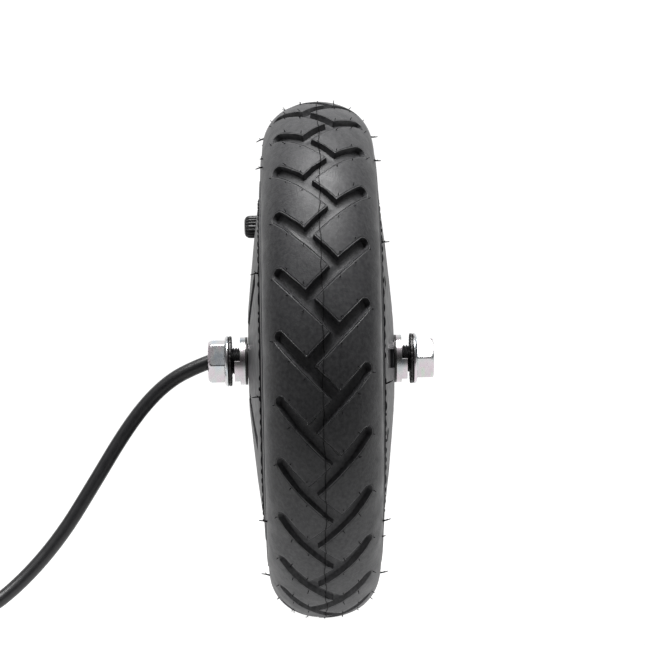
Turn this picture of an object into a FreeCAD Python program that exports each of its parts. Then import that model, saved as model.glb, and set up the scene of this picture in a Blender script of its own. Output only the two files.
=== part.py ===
"""Hub motor wheel: an outrunner motor on a hollow axle, inside a small pneumatic scooter wheel.

Frame: origin at the wheel's centre, the axle along Y, +Z up. The motor cable leaves the axle's -Y end,
turns down to the floor and ends in a tied coil. The side cover and its screws are on the +Y side.
All sizes are in millimetres. Profiles are drawn as (radius, y) and revolved about the axle.
"""
import FreeCAD, Part
import math
import os

os.makedirs("parts", exist_ok=True)

# ---------------------------------------------------------------- driving dimensions
TYRE_OD = 226.0
TYRE_WIDTH = 48.0
BEAD_SEAT_DIA = 134.0
HUB_WIDTH = 63.0
WIDTH_OVER_NUTS = 99.0
AXLE_DIA = 12.0
CABLE_DIA = 6.3

# tyre section
TREAD_R = TYRE_OD / 2
CROWN_ARC_R = 30.0
CROWN_HALF_WIDTH = 13.0
SHOULDER_END_ANGLE = 87.5
SIDEWALL_FOOT = (69.7, 25.3)
BEAD_TOE_Y = 16.0
BEAD_HEEL_Y = 23.4
CAVITY_SIDE_Y = 20.8
CAVITY_TOP_R = 107.0
TUBE_GAP = 0.2
TUBE_WALL = 1.8

# hub shell and cover
SEAT_R = BEAD_SEAT_DIA / 2
RIM_BED_R = 64.0
LIP_R = 69.5
LIP_IN_Y = 23.5
LIP_OUT_Y = 26.0
HUB_FACE_Y = HUB_WIDTH / 2
OUTER_FACE = [(18.5, HUB_FACE_Y), (19.7, 30.2), (21.6, 30.2), (22.8, HUB_FACE_Y), (37.0, 30.1), (53.0, 28.4),
              (66.0, 26.7)]
INNER_FACE = [(52.0, 25.0), (36.0, 27.0), (18.0, 27.6)]
DRUM_BORE_R = 60.5
SHELL_INNER_R = 58.0
BOSS_R = 18.0
BOSS_INNER_Y = 19.5
SEAL_BORE_R = 12.0
CHANNEL_WIDTH = 8.0
CHANNEL_DEPTH = 1.6
CHANNEL_START_R = 22.4
CHANNEL_END_R = 60.0
SHELL_PETALS = 5
COVER_PETALS = 6
COVER_SCREW_R = 63.5
COVER_SCREW_COUNT = 6

# motor
STATOR_Y = 6.5
STACK_WIDTH = 24.0
STATOR_R = 54.0
STATOR_BORE_R = 24.0
TEETH = 27
TOOTH_WIDTH = 4.5
SLOT_BOTTOM_R = 33.0
TOOTH_TIP_R = 51.0
SLOT_OPENING = 2.0
INSULATOR_THICK = 1.0
COIL_OVERHANG = 3.0
MAGNETS = 30
MAGNET_THICK = 3.0
AIR_GAP = 0.5
MAGNET_ARC = 11.2
SHAFT_CORE_R = 8.0

# axle stations, measured outwards from the middle
AXLE_END_Y = 48.7
BEARING_IN_Y = 20.0
BEARING_OUT_Y = 28.0
SPACER_OUT_Y = 32.2
COLLAR_IN_Y = 33.1
SEAT_IN_Y = 35.4
SEAT_OUT_Y = 39.1
RELIEF_WIDTH = 0.7
FLAT_DISTANCE = 5.0
CABLE_BORE_R = 3.6
CABLE_BORE_END_Y = -9.5

# bearings, 12 x 28 x 8
BEARING_OD = 28.0
INNER_RING_R = 8.4
OUTER_RING_R = 11.6
BALL_DIA = 4.762
BALL_PITCH_R = 10.0
BALLS = 8
GROOVE_R = 2.45

# nut stack
COLLAR_R = 10.5
WASHER_R = 11.0
WASHER_OUT_Y = 40.4
FLANGE_R = 11.1
FLANGE_OUT_Y = 42.3
NUT_FLATS = 17.0
NUT_BORE_R = 6.05
WASHER_BORE_R = 6.3
LEFT_NUT_ANGLE = -12.0
RIGHT_NUT_ANGLE = 0.0
TAB_ANGLE = -30.0
TAB_WIDTH = 10.0
TAB_OUT_Y = 37.8

# valve
VALVE_R = 59.0
VALVE_STEM_R = 3.0
VALVE_THREAD_R = 3.85
VALVE_INNER_Y = -12.5
VALVE_END_Y = -31.0
CAP_R = 5.0
CAP_OPEN_Y = -22.6
CAP_END_Y = -32.6

# free cable
FLOOR_Z = -TREAD_R
CABLE_R = CABLE_DIA / 2
CABLE_LIE_Z = FLOOR_Z + CABLE_R + 0.05
COIL_CENTRE = (0.0, -195.0)
COIL_MEAN_R = 35.0
COIL_TOP_Z = CABLE_LIE_Z + 5.5
CABLE_ROUTE = [
    (0.0, -AXLE_END_Y, 0.0),
    (0.0, -56.0, -2.6),
    (0.0, -66.5, -8.0),
    (0.0, -77.0, -17.6),
    (1.0, -87.5, -31.5),
    (4.0, -100.0, -52.0),
    (9.0, -115.0, -76.0),
    (17.0, -133.0, -96.0),
    (27.0, -150.0, -108.0),
    (35.0, -168.0, CABLE_LIE_Z),
]
TAIL_ROUTE = [
    (-22.0, COIL_CENTRE[1] - COIL_MEAN_R, COIL_TOP_Z),
    (-36.0, COIL_CENTRE[1] - COIL_MEAN_R - 0.6, COIL_TOP_Z - 0.6),
    (-50.0, COIL_CENTRE[1] - COIL_MEAN_R - 0.2, COIL_TOP_Z - 3.6),
    (-64.0, COIL_CENTRE[1] - COIL_MEAN_R + 1.0, COIL_TOP_Z - 4.0),
]
CONNECTOR_R = 7.0

ORIGIN = FreeCAD.Vector(0, 0, 0)
X_AXIS = FreeCAD.Vector(1, 0, 0)
Y_AXIS = FreeCAD.Vector(0, 1, 0)
Z_AXIS = FreeCAD.Vector(0, 0, 1)

nodes = {}


# ---------------------------------------------------------------- helpers
def vec(point):
    return FreeCAD.Vector(*point)


def outward(shape):
    """The same shape with a positive volume."""
    if shape.Volume < 0:
        shape.reverse()
    return shape


def revolve_face(edges, angle=360):
    """Solid of revolution about the axle of a closed loop of edges in the (radius, y) plane."""
    face = Part.Face(Part.Wire(edges))
    return outward(face.revolve(ORIGIN, Y_AXIS, angle))


def polygon_edges(points):
    corners = [FreeCAD.Vector(r, y, 0) for r, y in points]
    return [Part.makeLine(a, b) for a, b in zip(corners, corners[1:])]


def turned(points, side=1, angle=360):
    """Solid of revolution of a closed polygon of (radius, y) points; side -1 mirrors it in y."""
    loop = [(r, side * y) for r, y in points]
    return revolve_face(polygon_edges(loop + loop[:1]), angle)


def ring(inner_r, outer_r, y0, y1, side=1):
    return turned([(inner_r, y0), (outer_r, y0), (outer_r, y1), (inner_r, y1)], side)


def rod(radius, y0, y1, x=0.0, z=0.0):
    """Cylinder parallel to the axle, from y0 to y1."""
    return Part.makeCylinder(radius, abs(y1 - y0), FreeCAD.Vector(x, min(y0, y1), z), Y_AXIS)


def spun(shape, angle):
    """Copy of a shape turned about the axle; positive lifts +X towards +Z."""
    copy = shape.copy()
    copy.rotate(ORIGIN, Y_AXIS, -angle)
    return copy


def around(shape, count, first=0.0):
    return [spun(shape, first + i * 360.0 / count) for i in range(count)]


def radial_block(width, r0, r1, y0, y1):
    """Box that points along +X from radius r0 to r1, centred on z = 0."""
    return Part.makeBox(r1 - r0, abs(y1 - y0), width, FreeCAD.Vector(r0, min(y0, y1), -width / 2))


def radial_prism(section, y0, y1):
    """Prism along the axle of a closed polygon of (x, z) points."""
    corners = [FreeCAD.Vector(x, min(y0, y1), z) for x, z in section + section[:1]]
    return Part.Face(Part.makePolygon(corners)).extrude(FreeCAD.Vector(0, abs(y1 - y0), 0))


def add(name, *shapes):
    """Register a node made of one or more closed solids."""
    solids = [solid for shape in shapes for solid in shape.Solids]
    nodes[name] = solids[0] if len(solids) == 1 else Part.makeCompound(solids)


def rounded_path(route):
    """Straight runs joined by tangent arcs; each arc takes 0.45 of its shorter run."""
    points = [vec(p) for p in route]
    edges, radii = [], []
    start = points[0]
    for before, corner, after in zip(points, points[1:], points[2:]):
        come = (before - corner).normalize()
        go = (after - corner).normalize()
        half_turn = (math.pi - come.getAngle(go)) / 2
        cut = 0.45 * min((before - corner).Length, (after - corner).Length)
        radius = cut / math.tan(half_turn)
        bisector = (come + go).normalize()
        middle = corner + bisector * (radius / math.cos(half_turn) - radius)
        arc_start = corner + come * cut
        arc_end = corner + go * cut
        edges.append(Part.LineSegment(start, arc_start).toShape())
        edges.append(Part.Arc(arc_start, middle, arc_end).toShape())
        radii.append(radius)
        start = arc_end
    edges.append(Part.LineSegment(start, points[-1]).toShape())
    return edges, radii


def tube_along(name, route, radius):
    """Round solid tube along a route, with its arc radii and volume check printed."""
    edges, radii = rounded_path(route)
    path = Part.Wire(edges)
    start, heading = vec(route[0]), vec(route[1]) - vec(route[0])
    section = Part.Wire(Part.makeCircle(radius, start, heading))
    tube = outward(path.makePipeShell([section], True, False))
    expected = math.pi * radius ** 2 * path.Length
    print(f"{name}: length {path.Length:.1f}, radii {[round(r, 1) for r in radii]},"
          f" volume/expected {tube.Volume / expected:.4f}")
    return tube


# ---------------------------------------------------------------- tyre, tube and valve
def crown_edges():
    """Outer half of the tyre from the crown's middle to the sidewall's foot, on the +Y side."""
    crown_centre = TREAD_R - CROWN_ARC_R
    half = math.asin(CROWN_HALF_WIDTH / CROWN_ARC_R)

    def on_crown(a):
        return FreeCAD.Vector(crown_centre + CROWN_ARC_R * math.cos(a), CROWN_ARC_R * math.sin(a), 0)

    end = math.radians(SHOULDER_END_ANGLE)
    shoulder_r = (TYRE_WIDTH / 2 - CROWN_HALF_WIDTH) / (math.sin(end) - math.sin(half))
    joint = on_crown(half)
    centre_x = joint.x - shoulder_r * math.cos(half)
    centre_y = joint.y - shoulder_r * math.sin(half)

    def on_shoulder(a):
        return FreeCAD.Vector(centre_x + shoulder_r * math.cos(a), centre_y + shoulder_r * math.sin(a), 0)

    foot = FreeCAD.Vector(SIDEWALL_FOOT[0], SIDEWALL_FOOT[1], 0)
    return [
        Part.Arc(on_crown(0), on_crown(half / 2), joint).toShape(),
        Part.Arc(joint, on_shoulder((half + end) / 2), on_shoulder(end)).toShape(),
        Part.makeLine(on_shoulder(end), foot),
    ]


def mirrored(edges):
    """The same edges on the -Y side."""
    return [edge.mirror(ORIGIN, Y_AXIS) for edge in edges]


def balloon_edges(top_r, side_y, side_foot, bed):
    """Half of the air space's outline from its top to the rim bed, on the +Y side."""
    top = FreeCAD.Vector(top_r, 0, 0)
    middle = FreeCAD.Vector(top_r - 4.5, side_y * 0.65, 0)
    side = FreeCAD.Vector(90.0, side_y, 0)
    arc = Part.Arc(top, middle, side).toShape()
    return [arc] + polygon_edges([(90.0, side_y), side_foot, bed])


def make_tyre():
    outer = crown_edges()
    bead = polygon_edges([SIDEWALL_FOOT, (SIDEWALL_FOOT[0], BEAD_HEEL_Y), (SEAT_R, BEAD_HEEL_Y),
                          (SEAT_R, BEAD_TOE_Y)])
    cavity = balloon_edges(CAVITY_TOP_R, CAVITY_SIDE_Y, (74.0, 20.5), (SEAT_R, BEAD_TOE_Y))
    half = outer + bead + cavity
    add("tyre", revolve_face(Part.__sortEdges__(half + mirrored(half))))


def make_inner_tube(stem):
    def wall(inset):
        low = RIM_BED_R + TUBE_GAP + inset
        half = balloon_edges(CAVITY_TOP_R - TUBE_GAP - inset, CAVITY_SIDE_Y - TUBE_GAP - inset,
                             (74.2 + inset * 0.4, 20.2 - inset), (low, 13.2 - inset * 0.4))
        floor = polygon_edges([(low, 13.2 - inset * 0.4), (low, -13.2 + inset * 0.4)])
        return revolve_face(Part.__sortEdges__(half + mirrored(half) + floor))

    add("inner_tube", wall(0.0).cut(wall(TUBE_WALL)).cut(stem))


def make_valve():
    """Angled stem: it drops through the rim bed, then turns to the cable side."""
    radial_top = RIM_BED_R + TUBE_GAP + TUBE_WALL
    corner = FreeCAD.Vector(0, VALVE_INNER_Y, VALVE_R)
    outside = Part.makeCylinder(VALVE_STEM_R, radial_top - VALVE_R, corner, Z_AXIS)
    outside = outside.fuse(Part.makeSphere(VALVE_STEM_R, corner))
    outside = outside.fuse(rod(VALVE_STEM_R, VALVE_INNER_Y, -22.5, z=VALVE_R))
    outside = outside.fuse(rod(VALVE_THREAD_R, -21.8, VALVE_END_Y, z=VALVE_R))
    stem = outside.cut(rod(2.4, VALVE_END_Y, -21.0, z=VALVE_R))
    stem = stem.cut(rod(1.2, -21.0, VALVE_INNER_Y, z=VALVE_R))
    stem = stem.cut(Part.makeCylinder(1.2, radial_top - VALVE_R, corner, Z_AXIS))
    add("valve_stem", stem)
    add("valve_core", rod(2.4, -30.6, -21.5, z=VALVE_R).cut(rod(1.1, -30.6, -21.5, z=VALVE_R)))
    add("valve_pin", rod(0.8, -30.9, -19.0, z=VALVE_R))
    cap = rod(CAP_R, CAP_OPEN_Y, CAP_END_Y, z=VALVE_R)
    rim_edges = [e for e in cap.Edges if abs(e.CenterOfMass.y - CAP_END_Y) < 1e-6]
    cap = cap.makeFillet(0.8, rim_edges)
    add("valve_cap", cap.cut(rod(4.15, CAP_OPEN_Y, -31.7, z=VALVE_R)))
    add("valve_cap_seal", rod(3.8, -31.65, -31.1, z=VALVE_R))
    return outside


# ---------------------------------------------------------------- rotating hub
def face_channels(petals, side, first):
    """Shallow radial channels between the raised petals of an outer face."""
    top = [(r, y + 2.0) for r, y in OUTER_FACE]
    floor = [(r, y - CHANNEL_DEPTH) for r, y in reversed(OUTER_FACE)]
    layer = turned(top + floor, side)
    slots = around(radial_block(CHANNEL_WIDTH, CHANNEL_START_R, CHANNEL_END_R, side * 20.0, side * 40.0),
                   petals, first)
    return layer.common(Part.makeCompound(slots))


def make_hub_shell():
    """Drum with bead seats and lips, and the cable-side wall with its bearing boss and valve pocket."""
    wall_out = [(r, -y) for r, y in OUTER_FACE]
    wall_in = [(r, -y) for r, y in reversed(INNER_FACE)]
    profile = [(LIP_R, LIP_OUT_Y), (66.9, 26.5), (66.9, LIP_IN_Y), (DRUM_BORE_R, LIP_IN_Y),
               (DRUM_BORE_R, -6.5), (SHELL_INNER_R, -6.5), (SHELL_INNER_R, -23.6)]
    profile += list(reversed(wall_in))
    profile += [(BOSS_R, -BOSS_INNER_Y), (BEARING_OD / 2, -BOSS_INNER_Y), (BEARING_OD / 2, -BEARING_OUT_Y),
                (SEAL_BORE_R, -BEARING_OUT_Y), (SEAL_BORE_R, -HUB_FACE_Y)]
    profile += wall_out
    profile += [(LIP_R, -LIP_OUT_Y), (LIP_R, -LIP_IN_Y), (SEAT_R, -LIP_IN_Y), (SEAT_R, -15.5),
                (RIM_BED_R, -14.0), (RIM_BED_R, 14.0), (SEAT_R, 15.5), (SEAT_R, LIP_IN_Y), (LIP_R, LIP_IN_Y)]
    shell = turned(profile)
    shell = shell.fuse(rod(7.7, -26.5, -20.0, z=VALVE_R)).fuse(rod(4.9, -24.0, -7.8, z=VALVE_R))
    shell = shell.cut(rod(6.2, -40.0, -21.5, z=VALVE_R))
    shell = shell.cut(rod(3.4, -22.0, -9.2, z=VALVE_R))
    hole_foot = FreeCAD.Vector(0, VALVE_INNER_Y, VALVE_R)
    shell = shell.cut(Part.makeCylinder(3.3, 8.0, hole_foot, Z_AXIS))
    shell = shell.cut(face_channels(SHELL_PETALS, -1, 180.0 / SHELL_PETALS))
    holes = around(rod(1.5, 16.0, LIP_IN_Y, x=COVER_SCREW_R), COVER_SCREW_COUNT, 30.0)
    add("hub_shell", shell.cut(Part.makeCompound(holes)))


def make_side_cover():
    """Screwed cover on the +Y side, with its spigot, seal groove and bearing boss."""
    profile = [(66.8, 26.5), (66.8, LIP_IN_Y), (DRUM_BORE_R, LIP_IN_Y), (DRUM_BORE_R, 22.4), (59.3, 22.4),
               (59.3, 21.0), (DRUM_BORE_R, 21.0), (DRUM_BORE_R, 19.9), (57.0, 19.9), (57.0, 24.2)]
    profile += INNER_FACE
    profile += [(BOSS_R, BOSS_INNER_Y), (BEARING_OD / 2, BOSS_INNER_Y), (BEARING_OD / 2, BEARING_OUT_Y),
                (SEAL_BORE_R, BEARING_OUT_Y), (SEAL_BORE_R, HUB_FACE_Y)]
    profile += OUTER_FACE
    cover = turned(profile).cut(face_channels(COVER_PETALS, 1, 0.0))
    holes = rod(1.6, 20.0, 30.0, x=COVER_SCREW_R).fuse(rod(2.95, 24.8, 30.0, x=COVER_SCREW_R))
    add("side_cover", cover.cut(Part.makeCompound(around(holes, COVER_SCREW_COUNT, 30.0))))
    add("cover_seal_ring", ring(59.3, DRUM_BORE_R, 21.0, 22.4))


def make_cover_screws():
    head = rod(2.75, 24.8, 26.5, x=COVER_SCREW_R)
    socket = rod(1.2, 25.6, 26.5, x=COVER_SCREW_R)
    screw = head.cut(socket).fuse(rod(1.5, 16.2, 24.8, x=COVER_SCREW_R))
    add("cover_screws", *around(screw, COVER_SCREW_COUNT, 30.0))


def make_rotor_magnets():
    inner_r = STATOR_R + AIR_GAP
    outer_r = inner_r + MAGNET_THICK
    y0 = STATOR_Y - STACK_WIDTH / 2
    y1 = STATOR_Y + STACK_WIDTH / 2
    add("flux_ring", ring(outer_r, DRUM_BORE_R, y0 - 1.0, y1 + 1.0))
    magnet = turned([(inner_r, y0), (outer_r, y0), (outer_r, y1), (inner_r, y1)], angle=MAGNET_ARC)
    add("rotor_magnets", *around(magnet, MAGNETS))


# ---------------------------------------------------------------- bearings and seals
def make_bearing(prefix, side):
    """Deep-groove ball bearing: both rings, rubber shields, balls and cage."""
    middle = (BEARING_IN_Y + BEARING_OUT_Y) / 2
    race = Part.makeTorus(BALL_PITCH_R, GROOVE_R, FreeCAD.Vector(0, side * middle, 0), Y_AXIS)
    inner = ring(AXLE_DIA / 2, INNER_RING_R, BEARING_IN_Y, BEARING_OUT_Y, side).cut(race)
    outer = ring(OUTER_RING_R, BEARING_OD / 2, BEARING_IN_Y, BEARING_OUT_Y, side).cut(race)
    add(prefix + "_bearing_inner_ring", inner)
    add(prefix + "_bearing_outer_ring", outer)
    shields = [ring(INNER_RING_R + 0.1, OUTER_RING_R, y, y + 0.6, side)
               for y in (BEARING_IN_Y + 0.1, BEARING_OUT_Y - 0.7)]
    add(prefix + "_bearing_shields", *shields)
    ball = Part.makeSphere(BALL_DIA / 2, FreeCAD.Vector(BALL_PITCH_R, side * middle, 0))
    pocket_foot = FreeCAD.Vector(BALL_PITCH_R - 2.0, side * middle, 0)
    pocket = Part.makeCylinder(BALL_DIA / 2 + 0.17, 4.0, pocket_foot, X_AXIS)
    cage = ring(BALL_PITCH_R - 0.7, BALL_PITCH_R + 0.7, middle - 2.9, middle + 2.9, side)
    add(prefix + "_bearing_balls", *around(ball, BALLS))
    add(prefix + "_bearing_cage", cage.cut(Part.makeCompound(around(pocket, BALLS))))


def make_axle_seal(prefix, side):
    """Lip seal in the hub, the bush it runs on, and the thin dust ring outside it."""
    seal = [(7.6, 29.4), (9.0, 28.6), (SEAL_BORE_R, 28.6), (SEAL_BORE_R, 31.2), (9.0, 31.2), (7.6, 30.4)]
    add(prefix + "_lip_seal", turned(seal, side))
    add(prefix + "_spacer_bush", ring(AXLE_DIA / 2, 7.5, BEARING_OUT_Y, SPACER_OUT_Y, side))
    add(prefix + "_dust_ring", ring(AXLE_DIA / 2, COLLAR_R, SPACER_OUT_Y, COLLAR_IN_Y, side))


# ---------------------------------------------------------------- axle and stator
def flat_cutter(side):
    """Removes the D-flat that keys the collar, from the collar to the axle's end."""
    y0, y1 = side * COLLAR_IN_Y, side * (AXLE_END_Y + 1.0)
    return Part.makeBox(10.0, abs(y1 - y0), 30.0, FreeCAD.Vector(-FLAT_DISTANCE - 10.0, min(y0, y1), -15.0))


def make_axle():
    r = AXLE_DIA / 2
    half = [(0.0, AXLE_END_Y), (r - 0.6, AXLE_END_Y), (r, AXLE_END_Y - 0.6), (r, SEAT_OUT_Y + RELIEF_WIDTH),
            (r - 0.5, SEAT_OUT_Y + RELIEF_WIDTH), (r - 0.5, SEAT_OUT_Y), (r, SEAT_OUT_Y), (r, SEAT_IN_Y),
            (r - 0.4, SEAT_IN_Y), (r - 0.4, SEAT_IN_Y - RELIEF_WIDTH), (r, SEAT_IN_Y - RELIEF_WIDTH),
            (r, BEARING_IN_Y), (SHAFT_CORE_R, BEARING_IN_Y)]
    clip_in = STATOR_Y + STACK_WIDTH / 2
    grooves = [(SHAFT_CORE_R, clip_in + 1.1), (SHAFT_CORE_R - 0.5, clip_in + 1.1),
               (SHAFT_CORE_R - 0.5, clip_in), (SHAFT_CORE_R, clip_in)]
    stop_y = STATOR_Y - STACK_WIDTH / 2
    stop = [(SHAFT_CORE_R, stop_y), (10.0, stop_y), (10.0, stop_y - 2.0), (SHAFT_CORE_R, stop_y - 2.0)]
    shaft = turned(half + grooves + stop + [(q, -y) for q, y in reversed(half)])
    shaft = shaft.cut(flat_cutter(1)).cut(flat_cutter(-1))
    bore = rod(CABLE_BORE_R, -AXLE_END_Y - 1.0, CABLE_BORE_END_Y)
    window = Part.makeBox(4.0, 9.0, 12.0, FreeCAD.Vector(-2.0, -18.5, 0.0))
    hall_hole = Part.makeCylinder(1.5, 12.0, FreeCAD.Vector(0, -14.0, 0), -Z_AXIS)
    add("axle", shaft.cut(bore).cut(window).cut(hall_hole))


def make_collar(name, side):
    """Keyed collar that the fork bears on, with the bent tab that stops the axle turning."""
    collar = ring(AXLE_DIA / 2, COLLAR_R, COLLAR_IN_Y, SEAT_IN_Y, side)
    y0, y1 = side * COLLAR_IN_Y, side * SEAT_IN_Y
    key = Part.makeBox(1.0, abs(y1 - y0), 6.63, FreeCAD.Vector(-FLAT_DISTANCE - 1.0, min(y0, y1), -3.315))
    bore = rod(AXLE_DIA / 2, y0, y1)
    collar = collar.fuse(key.common(bore))
    tab = radial_block(TAB_WIDTH, 8.6, COLLAR_R, side * COLLAR_IN_Y, side * TAB_OUT_Y)
    tab = tab.common(rod(COLLAR_R, side * COLLAR_IN_Y, side * TAB_OUT_Y))
    add(name, collar.fuse(spun(tab, TAB_ANGLE)).removeSplitter())


def tooth_slots(y0, y1):
    """The spaces between the stator's teeth, open at the air gap."""
    gap = math.pi / TEETH
    inner_half = SLOT_BOTTOM_R * math.tan(gap) - TOOTH_WIDTH / 2
    outer_half = TOOTH_TIP_R * math.tan(gap) - TOOTH_WIDTH / 2
    section = [(SLOT_BOTTOM_R, -inner_half), (TOOTH_TIP_R, -outer_half), (TOOTH_TIP_R + 1.0, -SLOT_OPENING / 2),
               (STATOR_R + 1.0, -SLOT_OPENING / 2), (STATOR_R + 1.0, SLOT_OPENING / 2),
               (TOOTH_TIP_R + 1.0, SLOT_OPENING / 2), (TOOTH_TIP_R, outer_half), (SLOT_BOTTOM_R, inner_half)]
    return around(radial_prism(section, y0, y1), TEETH, 180.0 / TEETH)


def make_stator():
    y0 = STATOR_Y - STACK_WIDTH / 2
    y1 = STATOR_Y + STACK_WIDTH / 2
    slots = Part.makeCompound(tooth_slots(y0 - 2.0, y1 + 2.0))
    add("stator_core", ring(STATOR_BORE_R, STATOR_R, y0, y1).cut(slots))
    plates = [ring(SLOT_BOTTOM_R - 3.0, STATOR_R, a, b).cut(slots)
              for a, b in ((y0 - INSULATOR_THICK, y0), (y1, y1 + INSULATOR_THICK))]
    add("stator_insulators", *plates)
    spider = ring(SHAFT_CORE_R, STATOR_BORE_R, y0, y1)
    pockets = around(rod(4.2, y0 - 1.0, y1 + 1.0, x=16.5), 6, 30.0)
    add("stator_spider", spider.cut(Part.makeCompound(pockets)))
    add("stator_circlip", ring(SHAFT_CORE_R - 0.5, 9.6, y1, y1 + 1.1))


def tooth_coil():
    """Copper coil round the tooth that points along +X."""
    y0 = STATOR_Y - STACK_WIDTH / 2 - INSULATOR_THICK
    y1 = STATOR_Y + STACK_WIDTH / 2 + INSULATOR_THICK
    near, far = TOOTH_WIDTH / 2 + 1.3, TOOTH_WIDTH / 2 + 2.9
    section = [(34.5, -near), (49.5, -far), (49.5, far), (34.5, near)]
    block = radial_prism(section, y0 - COIL_OVERHANG, y1 + COIL_OVERHANG)
    long_edges = [e for e in block.Edges
                  if abs(e.Vertexes[0].Point.y - e.Vertexes[1].Point.y) < 1e-6
                  and abs(e.Vertexes[0].Point.x - e.Vertexes[1].Point.x) > 1.0]
    block = block.makeFillet(1.2, long_edges)
    return block.cut(radial_block(TOOTH_WIDTH, 30.0, 55.0, y0, y1))


def make_windings():
    """Three phases, each of three groups of three neighbouring teeth."""
    coil = tooth_coil()
    pitch = 360.0 / TEETH
    for phase, letter in enumerate("abc"):
        teeth = [9 * group + 3 * phase + i for group in range(3) for i in range(3)]
        add("winding_phase_" + letter, *[spun(coil, tooth * pitch) for tooth in teeth])


def make_hall_board():
    """Arc-shaped board below the axle with three position sensors facing the magnets."""
    board_y = STATOR_Y - STACK_WIDTH / 2 - INSULATOR_THICK - COIL_OVERHANG - 0.2
    board = turned([(42.0, board_y - 1.2), (52.5, board_y - 1.2), (52.5, board_y), (42.0, board_y)], angle=64)
    add("hall_board", spun(board, -90.0 + 32.0))
    pitch = 360.0 / TEETH
    sensor = radial_block(4.0, 50.8, 52.4, board_y, board_y + 3.0)
    add("hall_sensors", *[spun(sensor, -90.0 + k * pitch) for k in (-1.0, 0.0, 1.0)])


def make_leads():
    """Cable inside the axle, its sealing sleeve, and the leads from the axle to the windings and board."""
    coil_y = STATOR_Y - STACK_WIDTH / 2 - INSULATOR_THICK - COIL_OVERHANG
    free_cable = nodes["motor_cable"]
    add("cable_inner", rod(CABLE_R, -AXLE_END_Y, -10.5).cut(free_cable))
    add("cable_seal", ring(CABLE_R, CABLE_BORE_R, 43.0, AXLE_END_Y, -1).cut(free_cable))
    leads = []
    for y, top in ((-17.0, 46.0), (-15.0, 42.0), (-13.0, 38.0)):
        route = [(0.0, y, CABLE_R), (0.0, y, top), (0.0, coil_y, top)]
        leads.append(tube_along("phase lead", route, 0.9))
    add("phase_leads", *leads)
    hall_route = [(0.0, -14.0, -CABLE_R), (0.0, -14.0, -47.0), (0.0, coil_y - 1.4, -47.0)]
    add("hall_lead", tube_along("hall lead", hall_route, 0.9))


# ---------------------------------------------------------------- nuts and washers
def make_washer(name, side):
    """Washer under the nut, with radial teeth on its fork side."""
    teeth = around(radial_block(0.7, 7.2, WASHER_R - 0.4, side * (SEAT_OUT_Y - 0.1), side * (SEAT_OUT_Y + 0.35)), 24)
    body = ring(WASHER_BORE_R, WASHER_R, SEAT_OUT_Y, WASHER_OUT_Y, side)
    add(name, body.cut(Part.makeCompound(teeth)))


def make_nut(name, side, angle):
    """Flanged hexagon nut, chamfered at its outer end."""
    corner_r = NUT_FLATS / 2 / math.cos(math.pi / 6)
    corners = [(corner_r * math.cos(math.radians(a)), corner_r * math.sin(math.radians(a)))
               for a in range(0, 360, 60)]
    outer_y = WIDTH_OVER_NUTS / 2
    hexagon = radial_prism(corners, side * (FLANGE_OUT_Y - 0.6), side * outer_y)
    limit = turned([(0.0, FLANGE_OUT_Y - 0.6), (corner_r + 0.1, FLANGE_OUT_Y - 0.6),
                    (corner_r + 0.1, outer_y - 0.9), (NUT_FLATS / 2 - 0.1, outer_y), (0.0, outer_y)], side)
    flange = turned([(0.0, WASHER_OUT_Y), (FLANGE_R, WASHER_OUT_Y), (FLANGE_R, FLANGE_OUT_Y - 0.5),
                     (FLANGE_R - 0.9, FLANGE_OUT_Y), (0.0, FLANGE_OUT_Y)], side)
    body = hexagon.common(limit).fuse(flange)
    bore = turned([(0.0, 40.0), (NUT_BORE_R, 40.0), (NUT_BORE_R, outer_y - 0.7),
                   (NUT_BORE_R + 0.8, outer_y + 0.1), (0.0, outer_y + 0.1)], side)
    add(name, spun(body.cut(bore), angle))


# ---------------------------------------------------------------- free cable
def make_cable():
    """Free cable to the floor, its tied coil, and the tail to the connector."""
    add("motor_cable", tube_along("motor cable", CABLE_ROUTE, CABLE_R))
    cx, cy = COIL_CENTRE
    low, top = FLOOR_Z, COIL_TOP_Z + CABLE_R
    profile = [(28.6, low), (41.4, low), (41.4, low + CABLE_DIA), (38.2, top), (31.8, top), (28.6, low + CABLE_DIA)]
    corners = [FreeCAD.Vector(cx + r, cy, z) for r, z in profile + profile[:1]]
    centre = FreeCAD.Vector(cx, cy, 0)
    coil = outward(Part.Face(Part.makePolygon(corners)).revolve(centre, Z_AXIS, 360))
    band = [(27.6, low), (42.4, low), (42.4, low + CABLE_DIA + 0.4), (38.8, top + 1.0), (31.2, top + 1.0),
            (27.6, low + CABLE_DIA + 0.4)]
    hole = [(28.6, low + 0.8), (41.4, low + 0.8), (41.4, low + CABLE_DIA), (38.2, top), (31.8, top),
            (28.6, low + CABLE_DIA)]
    tie = tie_plate(band).cut(tie_plate(hole))
    tail = tube_along("cable tail", TAIL_ROUTE, CABLE_R)
    add("cable_coil", coil.cut(tie).cut(tail).cut(nodes["motor_cable"]))
    add("cable_tie", tie)
    add("cable_tail", tail)


def tie_plate(profile):
    """Plate 4 mm wide across the coil's section, on the coil's -X side."""
    cx, cy = COIL_CENTRE
    corners = [FreeCAD.Vector(cx - r, cy - 2.0, z) for r, z in profile + profile[:1]]
    return Part.Face(Part.makePolygon(corners)).extrude(FreeCAD.Vector(0, 4.0, 0))


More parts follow.
